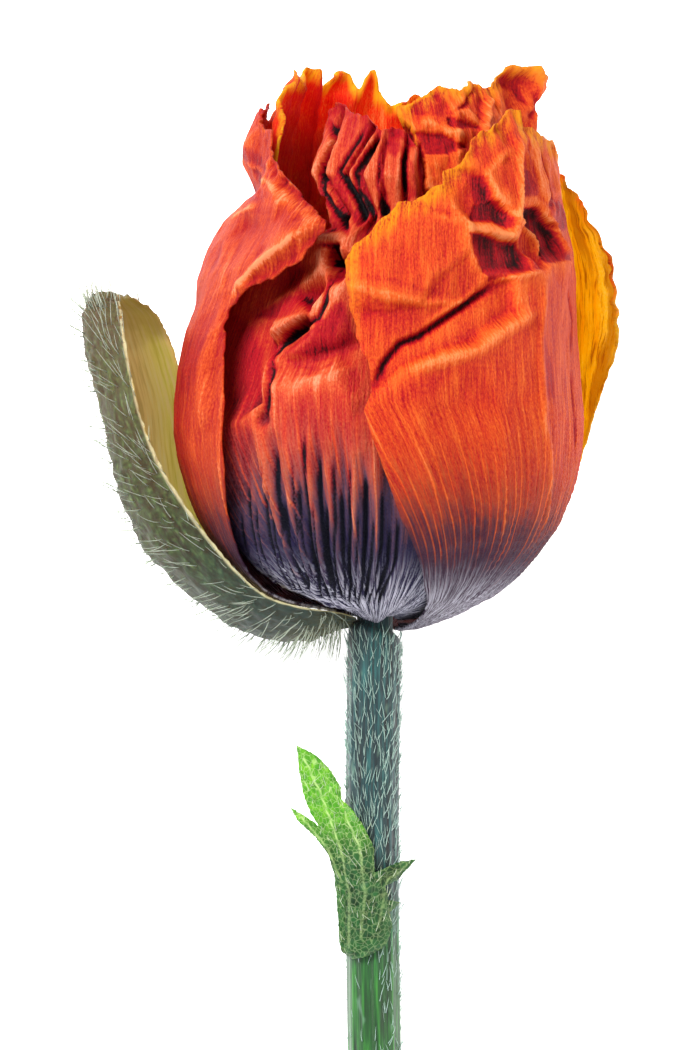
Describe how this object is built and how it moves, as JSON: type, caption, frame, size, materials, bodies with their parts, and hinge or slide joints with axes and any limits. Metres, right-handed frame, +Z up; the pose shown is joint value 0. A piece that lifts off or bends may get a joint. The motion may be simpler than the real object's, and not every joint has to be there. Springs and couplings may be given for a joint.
{
  "type": "poppy flower",
  "caption": "Cut oriental poppy flower opening from its bud, lying down: crumpled nested petals, one hairy boat-shaped sepal, a short stem with a lobed leaf, seed capsule and stamens inside.",
  "frame": {"origin": "on the surface the flower lies on, under the middle of its bounding box", "axes": "+Y from the cut end of the stem towards the head, +Z up, +X to the flower's right"},
  "size_m": [0.0544, 0.1026, 0.0416],
  "materials": {
    "petal_orange": "thin, crumpled, softly glossy petal tissue; fabric stands in for plant tissue",
    "petal_amber": "thin, crumpled petal tissue with light coming through it; fabric stands in for plant tissue",
    "petal_red": "thin, crumpled, softly glossy petal tissue; fabric stands in for plant tissue",
    "sepal": "tough green sepal with pale bristly hairs; leather stands in for plant tissue",
    "stem": "blue-green stem with dense pale hairs; leather stands in for plant tissue",
    "leaf": "thin bright green leaf with a pale net of veins; leather stands in for plant tissue",
    "pistil": "smooth waxy capsule with a dark rayed disc; leather stands in for plant tissue",
    "stamens": "dark violet threads with dusty anthers; fabric stands in for plant tissue"
  },
  "bodies": {
    "root": {"petal_front_right": "petal_orange", "petal_left": "petal_orange", "petal_back_right": "petal_amber", "petal_front": "petal_red", "petal_right": "petal_red", "petal_back_left": "petal_red", "sepal": "sepal", "stem": "stem", "stem_leaf": "leaf", "pistil": "pistil", "stamens": "stamens"}
  },
  "joints": []
}
